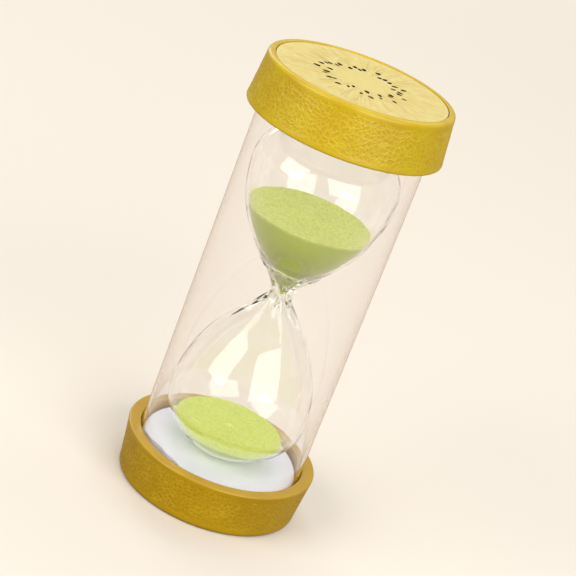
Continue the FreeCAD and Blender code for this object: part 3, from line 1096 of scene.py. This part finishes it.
@dataclass
class SliceDisc(EndPiece):
    """Printed disc in the cap's recess, with a ring of raised seeds."""

    print_finish: bpy.types.Material
    seed_finish: bpy.types.Material
    radius: float = 29.55 * MM
    depth: float = 0.33 * MM
    thickness: float = 1.0 * MM
    edge_fillet: float = 0.15 * MM
    turns: int = 288
    seeds: int = 36
    ring_inside: float = 9.4 * MM
    ring_outside: float = 17.0 * MM
    seed_length: float = 2.7 * MM
    seed_width: float = 1.85 * MM
    seed_height: float = 0.11 * MM
    seed_taper: float = 0.35
    seed_turns: int = 14
    seed_rows: int = 8
    golden_share: float = 0.618
    faint_seeds: float = 0.18

    def disc(self) -> Surface:
        """Turn the disc's outline."""
        inner = self.depth + self.thickness
        return self.turn(outline([
            Corner(0.0, self.depth),
            Corner(self.radius, self.depth, self.edge_fillet, 1.2 * MM),
            Corner(self.radius, inner, self.edge_fillet, 0.3 * MM),
            Corner(0.0, inner, 0.0, 3.0 * MM),
        ]), self.turns)

    def seed_ring(self) -> list[Surface]:
        """Spread tear-shaped seeds round the core.

        Seed k sits near k times a full turn over the number of seeds. Its point at angle p
        round it and q up it is (length cos q cos p, width cos q sin p (1 - taper cos p),
        height sin q), turned to lie along the radius.

        Returns:
            A closed surface for each seed, with its "fade" on each point.
        """
        draw = np.random.default_rng(self.end.seed(8, 5))
        count = self.seeds
        order = np.arange(count)
        heading = (order + draw.uniform(-0.42, 0.42, count)) * FULL_TURN / count
        share = draw.uniform(0.0, 1.0, count)
        share = 0.5 * share + 0.5 * (order * self.golden_share % 1.0)
        radius = self.ring_inside + (self.ring_outside - self.ring_inside) * share
        size = draw.uniform(0.66, 1.0, count)
        slim = draw.uniform(0.75, 1.15, count)
        lean = draw.normal(0.0, 0.22, count)
        faint = draw.uniform(0.0, 1.0, count) > 1.0 - self.faint_seeds
        fade = np.where(faint, draw.uniform(0.55, 1.0, count), draw.uniform(0.0, 0.25, count))
        heading, radius, size, slim, lean = (
            values[:, None, None] for values in (heading, radius, size, slim, lean))
        round_it = np.arange(self.seed_turns) * FULL_TURN / self.seed_turns
        up_it = np.linspace(-0.5 * math.pi, 0.5 * math.pi, self.seed_rows)
        q, p = np.meshgrid(up_it, round_it, indexing="ij")
        long = 0.5 * self.seed_length * size * np.cos(q) * np.cos(p)
        wide = 0.5 * self.seed_width * size * slim * np.cos(q) * np.sin(p)
        wide = wide * (1.0 - self.seed_taper * np.cos(p))
        tall = self.seed_height * np.sin(q) * np.ones_like(long)
        turn = heading + lean
        x = radius * np.cos(heading) + long * np.cos(turn) - wide * np.sin(turn)
        y = radius * np.sin(heading) + long * np.sin(turn) + wide * np.cos(turn)
        z = self.total - self.depth + tall
        grids = np.stack([x, y, z], 3)
        if self.end is End.LOWER:
            grids = np.stack([x, y, self.depth - tall], 3)[:, ::-1]
        return [skin(grid, {"fade": np.array(faded)}, [0, self.seed_rows - 1], finish=1)
                for grid, faded in zip(grids, fade)]

    def build(self) -> None:
        """Make the disc with its seeds."""
        stand_in(f"{self.end.value}_printed_slice", f"{self.end.value}_slice_disc",
                 [self.disc(), *self.seed_ring()], [self.print_finish, self.seed_finish])


@dataclass
class FoamPad(EndPiece):
    """Foam disc with a centre hole and a dish that a bulb's end sinks into."""

    finish: bpy.types.Material
    ball_radius: float
    bulb_end_height: float
    base: float = 3.53 * MM
    thickness: float = 12.0 * MM
    radius: float = 28.0 * MM
    hole: float = 4.0 * MM
    seat_clearance: float = 0.15 * MM
    edge_round: float = 1.3 * MM
    hole_round: float = 0.4 * MM
    pitch: float = 0.5 * MM
    turns: int = 320
    trim_depth: float = 3.5 * MM
    trim_angle: float = math.radians(-134.0)
    trim_wander: float = 0.30 * MM
    trim_wave: float = 700.0
    trim_start: float = 0.8
    unevenness: float = 0.14 * MM
    slow_share: float = 0.75
    seat_share: float = 0.12
    seat_radius: float = 8.0 * MM
    free_radius: float = 16.0 * MM

    def section(self) -> np.ndarray:
        """Return the pad's closed outline, with its dish worked out from the bulb's end arc."""
        top = self.base + self.thickness
        dish = self.ball_radius + self.seat_clearance
        centre = self.bulb_end_height + self.ball_radius
        shore = math.sqrt(dish ** 2 - (centre - top) ** 2)
        hole_top = centre - math.sqrt(dish ** 2 - self.hole ** 2)
        start = math.atan2(top - centre, shore)
        finish = math.atan2(hole_top - centre, self.hole)
        outer = outline([
            Corner(self.hole, self.base + self.hole_round),
            Corner(self.hole, self.base, self.hole_round, self.pitch),
            Corner(self.radius, self.base, self.edge_round, 2.0 * self.pitch),
            Corner(self.radius, top, self.edge_round, self.pitch),
            Corner(shore, top, 0.0, self.pitch),
        ], steps=9)
        bowl = arc((0.0, centre), dish, start, finish, 14)
        inside = outline([Corner(self.hole, hole_top),
                          Corner(self.hole, self.base + self.pitch, 0.0, self.pitch)])
        return np.concatenate([outer[1:], bowl[1:], inside[1:]])

    def trim(self, points: np.ndarray) -> np.ndarray:
        """Move points past the hand-trimmed flat back onto it along its normal.

        The flat lies the trim's depth inside the rim, plus a sine of the place along it.

        Args:
            points: The pad's points.

        Returns:
            The trimmed points.
        """
        heading = np.array([math.cos(self.trim_angle), math.sin(self.trim_angle), 0.0])
        side = np.array([-heading[1], heading[0], 0.0])
        wander = self.trim_wander * np.sin(points @ side * self.trim_wave + self.trim_start)
        limit = self.radius - self.trim_depth + wander
        return points - np.maximum(0.0, points @ heading - limit)[:, None] * heading

    def build(self) -> None:
        """Turn the section, pull it in by slow and fine waves and trim the lower pad."""
        own = self.section()
        across = np.arange(self.turns)[None, :] / self.turns
        along = (np.arange(len(own)) / len(own))[:, None]
        pattern = RoundPattern(self.end.seed(31, 37))
        slow = pattern.waves(across, along, 17, 9) - 1.0
        fine = pattern.waves(across, along, 90, 40) - 1.0
        waves = 0.5 * (self.slow_share * slow + (1.0 - self.slow_share) * fine)
        free = smooth_step(own[:, 0], self.seat_radius, self.free_radius)[:, None]
        free = self.seat_share + (1.0 - self.seat_share) * free
        surface = self.turn(own, self.turns, True, waves * self.unevenness * free)
        if self.end is End.LOWER:
            surface.points = self.trim(surface.points)
        piece = stand_in(f"{self.end.value}_soft_foam", f"{self.end.value}_foam_pad",
                         [surface], [self.finish], 50.0)


# ---------------------------------------------------------------------------------------------
# Tube, glass and sand
# ---------------------------------------------------------------------------------------------


@dataclass
class ClearTube:
    """Clear tube that stands on the floors of both caps."""

    low: float
    high: float
    radius: float
    finish: bpy.types.Material
    wall: float = 1.0 * MM
    edge_fillet: float = 0.2 * MM
    edge_pitch: float = 0.2 * MM
    long_pitch: float = 4.0 * MM
    turns: int = 360

    def build(self) -> None:
        """Turn the wall's outline."""
        inside = self.radius - self.wall
        section = outline([
            Corner(inside, self.low, self.edge_fillet, self.long_pitch),
            Corner(self.radius, self.low, self.edge_fillet, self.edge_pitch),
            Corner(self.radius, self.high, self.edge_fillet, self.long_pitch),
            Corner(inside, self.high, self.edge_fillet, self.edge_pitch),
        ], closed=True)
        stand_in("acrylic_tube", "clear_tube",
                 [turned(section, self.turns, closed=True)], [self.finish])


@dataclass(frozen=True)
class BulbCurve:
    """Half outline of a bulb: end arc, shoulder arc, flank arc, cone and neck arc.

    Heights are measured from the middle of the neck. Neighbouring arcs are tangent.
    """

    radius: float
    end_height: float
    neck_radius: float = 3.8 * MM
    neck_arc: float = 5.5 * MM
    bore_radius: float = 1.0 * MM
    wall: float = 0.8 * MM
    end_flattening: float = 2.2 * MM
    shoulder_arc: float = 14.0 * MM
    cone_length: float = 14.0 * MM

    @property
    def end_arc(self) -> float:
        """The radius of the arc at the bulb's end."""
        return self.radius + self.end_flattening

    @property
    def widest(self) -> float:
        """How far from the neck the bulb is widest, where the shoulder arc is upright."""
        rise = (self.end_arc - self.shoulder_arc) ** 2 - (self.radius - self.shoulder_arc) ** 2
        return self.end_height - self.end_arc + math.sqrt(rise)

    @property
    def flank_arc(self) -> float:
        """The flank radius that leaves a cone of the given length to the neck arc."""
        run = self.radius - self.neck_radius - self.neck_arc
        spare = run ** 2 + self.widest ** 2 - self.neck_arc ** 2 - self.cone_length ** 2
        return spare / (2.0 * (run + self.neck_arc))

    @property
    def bore_arc(self) -> float:
        """The bore arc's radius that leaves a cone of the same length inside the glass."""
        inner = self.flank_arc - self.wall
        run = self.bore_radius - self.radius + self.flank_arc
        spare = run ** 2 + self.widest ** 2 - inner ** 2 - self.cone_length ** 2
        return spare / (2.0 * (inner - run))

    def points(self, inset: float, neck_radius: float, neck_arc: float,
               density: float = 1.0) -> np.ndarray:
        """Points from the bulb's end to the middle of the neck.

        Args:
            inset: How far the curve lies inside the glass's outer surface.
            neck_radius: The radius at the middle of the neck.
            neck_arc: The radius of the arc there.
            density: Scales how many points there are.

        Returns:
            An array of radius and height above the neck.
        """
        count = [int(n * density) for n in (24, 24, 28, 24, 18)]
        end, shoulder = self.end_arc - inset, self.shoulder_arc - inset
        flank, radius = self.flank_arc - inset, self.radius - inset
        end_middle = (0.0, self.end_height - self.end_arc)
        shoulder_middle = (radius - shoulder, self.widest)
        flank_middle = np.array([radius - flank, self.widest])
        neck_middle = np.array([neck_radius + neck_arc, 0.0])
        tilt = math.atan2(shoulder_middle[1] - end_middle[1], shoulder_middle[0])
        across = neck_middle - flank_middle
        slope = math.atan2(across[1], across[0]) + math.acos(
            (flank + neck_arc) / float(np.linalg.norm(across)))
        normal = np.array([math.cos(slope), math.sin(slope)])
        cone_top, cone_foot = flank_middle + normal * flank, neck_middle - normal * neck_arc
        share = np.linspace(0.0, 1.0, count[3] + 2)[1:-1, None]
        return np.concatenate([
            arc(end_middle, end, 0.5 * math.pi, tilt, count[0])[:-1],
            arc(shoulder_middle, shoulder, tilt, 0.0, count[1])[:-1],
            arc(tuple(flank_middle), flank, 0.0, slope, count[2]),
            cone_top * (1.0 - share) + cone_foot * share,
            arc(tuple(neck_middle), neck_arc, slope + math.pi, math.pi, count[4]),
        ])

    def outside(self) -> np.ndarray:
        """The glass's outer surface."""
        return self.points(0.0, self.neck_radius, self.neck_arc)

    def inside(self) -> np.ndarray:
        """The glass's inner surface."""
        return self.points(self.wall, self.bore_radius, self.bore_arc, 0.8)

    def filling(self, clearance: float) -> np.ndarray:
        """The sand's surface, a clearance inside the glass."""
        return self.points(self.wall + clearance, self.bore_radius - clearance,
                           self.bore_arc + clearance)


@dataclass
class BlownGlass:
    """Two bulbs fused at a neck that was pinched into folds."""

    upper: BulbCurve
    lower: BulbCurve
    neck_height: float
    finish: bpy.types.Material
    hole_radius: float = 2.5 * MM
    turns: int = 240
    folds: int = 7
    fold_depth: float = 1.25 * MM
    fold_width: float = 0.17
    fold_reach: float = 8.0 * MM
    fold_run_down: float = 1.7
    fold_scatter: float = 0.3
    fold_twist_per_mm: float = 0.05
    shallowest_fold: float = 0.55
    swelling: float = 0.30
    gather_height: float = 9.2 * MM
    gather_width: float = 0.75 * MM
    gather_depth: float = 0.40 * MM
    gather_waver: tuple[Wave, ...] = ((0.45, 2.0, 0.7), (0.27, 7.0, 2.1))
    gather_lumps: tuple[Wave, ...] = ((0.30, 3.0, 1.3), (0.30, 17.0, 0.0), (0.20, 29.0, 0.5))
    waviness: float = 0.05 * MM
    calm_from: float = 45.0 * MM
    calm_at: float = 58.5 * MM

    def open_end(self, curve: BulbCurve, inset: float, points: np.ndarray) -> np.ndarray:
        """Cut a curve that starts at the bulb's end back to the filling hole's edge.

        Args:
            curve: The bulb.
            inset: How far the curve lies inside the glass's outer surface.
            points: The curve.

        Returns:
            The shorter curve.
        """
        reach = curve.end_arc - inset
        height = curve.end_height - curve.end_arc + math.sqrt(reach ** 2 - self.hole_radius ** 2)
        near = (points[:, 0] < self.hole_radius + 0.05 * MM) & (points[:, 1] > curve.widest)
        return np.vstack([[self.hole_radius, height], points[~near]])

    def section(self) -> tuple[np.ndarray, int]:
        """Join the outer surfaces, the filling hole and the inner surfaces.

        Returns:
            The outline in the row frame, from the lower bulb's outer end to its inner end, and
            how many of its points are on the outside.
        """
        flip = np.array([1.0, -1.0])
        upper_out = self.open_end(self.upper, 0.0, self.upper.outside())
        upper_in = self.open_end(self.upper, self.upper.wall, self.upper.inside())
        parts = [self.lower.outside() * flip, upper_out[::-1][1:], upper_in,
                 (self.lower.inside() * flip)[::-1][1:]]
        joined = np.concatenate(parts)
        joined[:, 1] += self.neck_height
        return joined, len(parts[0]) + len(parts[1])

    def folds_at(self, height: np.ndarray, turn: np.ndarray) -> np.ndarray:
        """Creases that run up and down through the neck and die out on the cones.

        Each crease is a bell across the turn, as wide as the fold width in radians, and all
        share a bell along the height. Between them the glass swells a little.

        Args:
            height: Height above the neck of each outline point.
            turn: Angle of each turn.

        Returns:
            Outward movement on the grid.
        """
        draw = np.random.default_rng(41)
        scatter = draw.uniform(-self.fold_scatter, self.fold_scatter, self.folds)
        spots = (np.arange(self.folds) + scatter) * FULL_TURN / self.folds
        depth = draw.uniform(self.shallowest_fold, 1.0, self.folds)
        twist = draw.uniform(-self.fold_twist_per_mm, self.fold_twist_per_mm, self.folds)
        reach = np.where(height > 0.0, self.fold_reach, self.fold_reach * self.fold_run_down)
        along = np.exp(-(height / (0.55 * reach)) ** 2)
        total = np.zeros((len(height), len(turn)))
        for spot, deep, lean in zip(spots, depth, twist):
            centre = spot + lean * height[:, None] / MM
            gap = (turn[None, :] - centre + math.pi) % FULL_TURN - math.pi
            total -= deep * np.exp(-(gap / self.fold_width) ** 2)
        return (total + self.swelling * (1.0 + total)) * along[:, None] * self.fold_depth

    def gather_at(self, height: np.ndarray, turn: np.ndarray) -> np.ndarray:
        """A wavering ring of thicker glass above the neck, where the pinched glass piled up.

        Args:
            height: Height above the neck of each outline point.
            turn: Angle of each turn.

        Returns:
            Outward movement on the grid: a bell along the height, whose middle and strength
            waver with the turn.
        """
        centre = self.gather_height + self.gather_width * ripple(turn, self.gather_waver)
        bell = np.exp(-((height[:, None] - centre[None, :]) / self.gather_width) ** 2)
        return bell * self.gather_depth * (1.0 + ripple(turn, self.gather_lumps))[None, :]

    def build(self) -> None:
        """Turn the section, fold the neck and let the outside waver as blown glass does."""
        points, outer = self.section()
        turn = np.arange(self.turns) * FULL_TURN / self.turns
        height = points[:, 1] - self.neck_height
        is_outer = (np.arange(len(points)) < outer)[:, None]
        along = points[:, 1] / (2.0 * self.neck_height)
        slow = RoundPattern(53).waves((turn / FULL_TURN)[None, :], along[:, None], 7, 12)
        calm = (1.0 - smooth_step(np.abs(height), self.calm_from, self.calm_at))[:, None]
        folded = self.folds_at(height, turn) + self.gather_at(height, turn)
        relief = np.where(is_outer, folded + slow * self.waviness * calm, 0.0)
        stand_in("blown_glass", "glass_bulbs",
                 [turned(points, self.turns, relief=relief)], [self.finish], 60.0)


@dataclass
class SandFill:
    """Sand in one bulb, level with a grainy top."""

    end: End
    curve: BulbCurve
    neck_height: float
    edge: tuple[float, float]
    middle_height: float
    finish: bpy.types.Material
    clearance: float = 0.15 * MM
    edge_gap: float = 0.1 * MM
    top_rows: int = 110
    turns: int = 400
    grain: float = 0.07 * MM
    drift: float = 0.16 * MM
    crater_depth: float = 0.0
    crater_radius: float = 1.5 * MM
    crater_rim: float = 0.9

    def section(self) -> tuple[np.ndarray, int]:
        """Follow the bulb's inside to the sand's edge, then its ball-shaped top to the axis.

        Returns:
            The outline in the row frame and how many of its points are under the top.
        """
        side = self.curve.filling(self.clearance)
        if self.end is End.UPPER:
            side = np.vstack([[0.0, 0.0], side[::-1]])
        else:
            side = side * np.array([1.0, -1.0])
        side[:, 1] += self.neck_height
        side = side[side[:, 1] < self.edge[1] - self.edge_gap]
        share = np.linspace(1.0, 0.0, self.top_rows)
        bulge = self.middle_height - self.edge[1]
        top = np.column_stack([self.edge[0] * share, self.edge[1] + bulge * (1.0 - share ** 2)])
        return np.concatenate([side, top]), len(side)

    def build(self) -> None:
        """Turn the section and roughen its top with grains over slow drifts.

        Where a stream lands it leaves a crater: (1 - rim d^2) exp(-d^2) deep, for a distance d
        in crater radii, so it has a low rim.
        """
        points, under = self.section()
        turn = (np.arange(self.turns) / self.turns)[None, :]
        pattern = RoundPattern(self.end.seed(67, 61))
        radius = points[:, 0:1] / self.edge[0]
        slow = pattern.waves(turn, radius, 9, 4) * smooth_step(radius, 0.0, 0.35)
        grains = pattern.draw.uniform(-1.0, 1.0, (len(points), self.turns))
        grains *= smooth_step(radius, 0.08, 0.30)
        free = 1.0 - smooth_step(radius, 0.93, 0.995)
        away = (points[:, 0:1] / self.crater_radius) ** 2
        crater = (1.0 - self.crater_rim * away) * np.exp(-away) * self.crater_depth
        relief = (grains * self.grain + slow * self.drift) * free - crater
        relief[:under] = 0.0
        # The side against the glass, which the finish paints darker: painted shade, partly packed
        # sand.
        pressed = (np.arange(len(points)) < under).astype(float)[:, None]
        surface = turned(points, self.turns, relief=relief, attributes={"pressed": pressed})
        stand_in(f"{self.end.value}_lime_sand", f"{self.end.value}_sand",
                 [surface], [self.finish], 70.0)


# ---------------------------------------------------------------------------------------------
# Studio
# ---------------------------------------------------------------------------------------------


@dataclass(frozen=True)
class SoftBox:
    """A rectangular studio light that faces the object."""

    name: str
    azimuth: float
    elevation: float
    distance: float
    width: float
    height: float
    radiance: float
    colour: tuple[float, float, float] = (1.0, 0.99, 0.97)


def direction(azimuth: float, elevation: float) -> Vector:
    """Return the unit vector from the object, with azimuth 0 towards -Y and 90 to +X."""
    turn, rise = math.radians(azimuth), math.radians(elevation)
    level = math.cos(rise)
    return Vector((math.sin(turn) * level, -math.cos(turn) * level, math.sin(rise)))


def add_object(name: str, data: bpy.types.ID) -> bpy.types.Object:
    """Put a mesh, a lamp or a camera into the scene.

    Args:
        name: The object's name.
        data: What it holds.

    Returns:
        The object.
    """
    made = bpy.data.objects.new(name, data)
    bpy.context.scene.collection.objects.link(made)
    return made


@dataclass
class Studio:
    """Floor, soft boxes, ambient light and the camera."""

    centre: Vector
    floor_finish: bpy.types.Material
    air: Colour = (0.335, 0.34, 0.35, 1.0)
    air_through_glass: Colour = (0.86, 0.80, 0.70, 1.0)
    mirror_share: float = 0.38
    camera_elevation: float = 21.616
    camera_distance: float = 0.65154
    camera_roll: float = 21.23
    lens: float = 121.117
    sensor_width: float = 36.0
    clip: tuple[float, float] = (0.02, 50.0)
    aim_right: float = 2.206 * MM
    aim_up: float = 1.002 * MM
    floor_half: float = 6.0
    ray_depth: int = 28

    boxes: tuple[SoftBox, ...] = (
        SoftBox("left_box", -53.0, 27.0, 2.2, 1.53, 1.67, 3.8),
        SoftBox("right_box", 36.0, 27.0, 2.2, 1.99, 1.76, 3.9),
        SoftBox("back_box", 165.0, 56.0, 2.6, 2.8, 2.2, 1.25),
        SoftBox("rim_box", -150.0, 24.0, 2.2, 0.7, 1.5, 2.4),
    )

    def make_box(self, box: SoftBox) -> None:
        """Place one soft box; its power is pi times its radiance times its area.

        Args:
            box: The box.
        """
        lamp = bpy.data.lights.new(box.name, "AREA")
        lamp.shape = "RECTANGLE"
        lamp.size, lamp.size_y = box.width, box.height
        lamp.color = box.colour
        lamp.energy = math.pi * box.radiance * box.width * box.height
        holder = add_object(box.name, lamp)
        away = direction(box.azimuth, box.elevation)
        holder.location = self.centre + away * box.distance
        holder.rotation_euler = away.to_track_quat("Z", "Y").to_euler()

    def make_world(self) -> None:
        """Fill the room with an even soft light.

        The air looks brighter and warmer to the camera and through glass, and partly so in a
        reflection.
        """
        world = bpy.data.worlds.new("studio_air")
        world.use_nodes = True
        graph = Graph(world.node_tree)
        direct = graph.ray("Is Transmission Ray").larger(graph.ray("Is Camera Ray"))
        share = graph.ray("Is Glossy Ray") * self.mirror_share + direct
        shade = graph.mix(share, self.air, self.air_through_glass)
        graph.fill(graph.tree.nodes["Background"], {"Color": shade})
        bpy.context.scene.world = world

    def make_floor(self) -> None:
        """Lay a flat floor under the object."""
        half = self.floor_half
        corners = [(-half, -half, 0.0), (half, -half, 0.0), (half, half, 0.0), (-half, half, 0.0)]
        mesh = bpy.data.meshes.new("floor")
        mesh.from_pydata(corners, [], [(0, 1, 2, 3)])
        mesh.materials.append(self.floor_finish)
        add_object("floor", mesh)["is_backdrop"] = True

    def make_camera(self) -> None:
        """Aim a long lens just off the object's centre and roll it."""
        away = direction(0.0, self.camera_elevation)
        spot = self.centre + away * self.camera_distance
        roll = math.radians(self.camera_roll)
        right = Vector((1.0, 0.0, 0.0))
        up = away.cross(right)
        rolled_right = right * math.cos(roll) + up * math.sin(roll)
        rolled_up = up * math.cos(roll) - right * math.sin(roll)
        target = self.centre + rolled_right * self.aim_right + rolled_up * self.aim_up
        back = (spot - target).normalized()
        side = rolled_up.cross(back).normalized()
        turn = Matrix((side, back.cross(side), back)).transposed()
        data = bpy.data.cameras.new("studio_camera")
        data.lens, data.sensor_width = self.lens, self.sensor_width
        data.clip_start, data.clip_end = self.clip
        camera = add_object("studio_camera", data)
        camera.matrix_world = Matrix.Translation(spot) @ turn.to_4x4()
        bpy.context.scene.camera = camera

    def deepen_paths(self) -> None:
        """Let rays cross the tube, both walls of a bulb and the neck's folds before they end."""
        paths = bpy.context.scene.cycles
        paths.max_bounces = paths.transmission_bounces = self.ray_depth
        paths.transparent_max_bounces = self.ray_depth
        paths.glossy_bounces = self.ray_depth // 2

    def build(self) -> None:
        """Set up the whole studio."""
        self.make_world()
        self.make_floor()
        for box in self.boxes:
            self.make_box(box)
        self.make_camera()
        self.deepen_paths()
        bpy.context.scene.view_settings.view_transform = "Standard"


def dress_node(node: str, finish: bpy.types.Material) -> None:
    """Give a CAD node whose shape is right its finish.

    Args:
        node: The node's name.
        finish: The material.
    """
    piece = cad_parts[node]
    piece.data.materials.clear()
    piece.data.materials.append(finish)
    LOG.info("%s: kept, with %s", node, finish.name)


def main() -> None:
    """Build the studio and every sub-assembly."""
    logging.basicConfig(level=logging.INFO, format="%(name)s: %(message)s")
    cad_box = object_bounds()
    total = cad_box[1].z - cad_box[0].z
    neck = total / 2.0
    Studio(Vector((0.0, 0.0, neck)), StudioFloor().material()).build()

    glass_low, glass_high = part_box("glass_bulbs")
    tube_low, tube_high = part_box("clear_tube")
    inner = tube_high.x - ClearTube.wall
    upper_gap, lower_gap = 2.9 * MM, 3.6 * MM
    upper = BulbCurve(inner - upper_gap, glass_high.z - neck)
    lower = BulbCurve(inner - lower_gap, neck - glass_low.z)

    # The lower cap takes the darker copy of the golden plastic: painted shade.
    peels = {End.UPPER: PeelPlastic().material(), End.LOWER: SHADED_PEEL.material()}
    ink, seeds = SlicePrint().material(), SeedInk().material()
    foam, film = WhiteFoam().material(), AdhesiveFilm().material()
    for end, curve in ((End.LOWER, lower), (End.UPPER, upper)):
        EndCap(end, total, peels[end]).build()
        SliceDisc(end, total, ink, seeds).build()
        FoamPad(end, total, foam, curve.end_arc, neck - curve.end_height).build()
        dress_node(f"{end.value}_disc_adhesive", film)
    ClearTube(tube_low.z, tube_high.z, tube_high.x, ClearAcrylic().material()).build()
    BlownGlass(upper, lower, neck, BulbGlass().material()).build()
    dress_node("fill_stopper", StopperRubber().material())

    high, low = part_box("upper_sand")[1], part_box("lower_sand")[1]
    dish, mound, top_gap, crater = 0.2 * MM, 0.6 * MM, 0.1 * MM, 0.45 * MM
    SandFill(End.UPPER, upper, neck, (high.x, high.z), high.z - dish,
             LimeSand().material()).build()
    # The lower sand takes the darker copy of the lime sand: painted shade.
    SandFill(End.LOWER, lower, neck, (low.x, low.z - mound), low.z - top_gap,
             SHADED_SAND.material(), crater_depth=crater).build()

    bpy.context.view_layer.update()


if __name__ == "__main__":
    main()
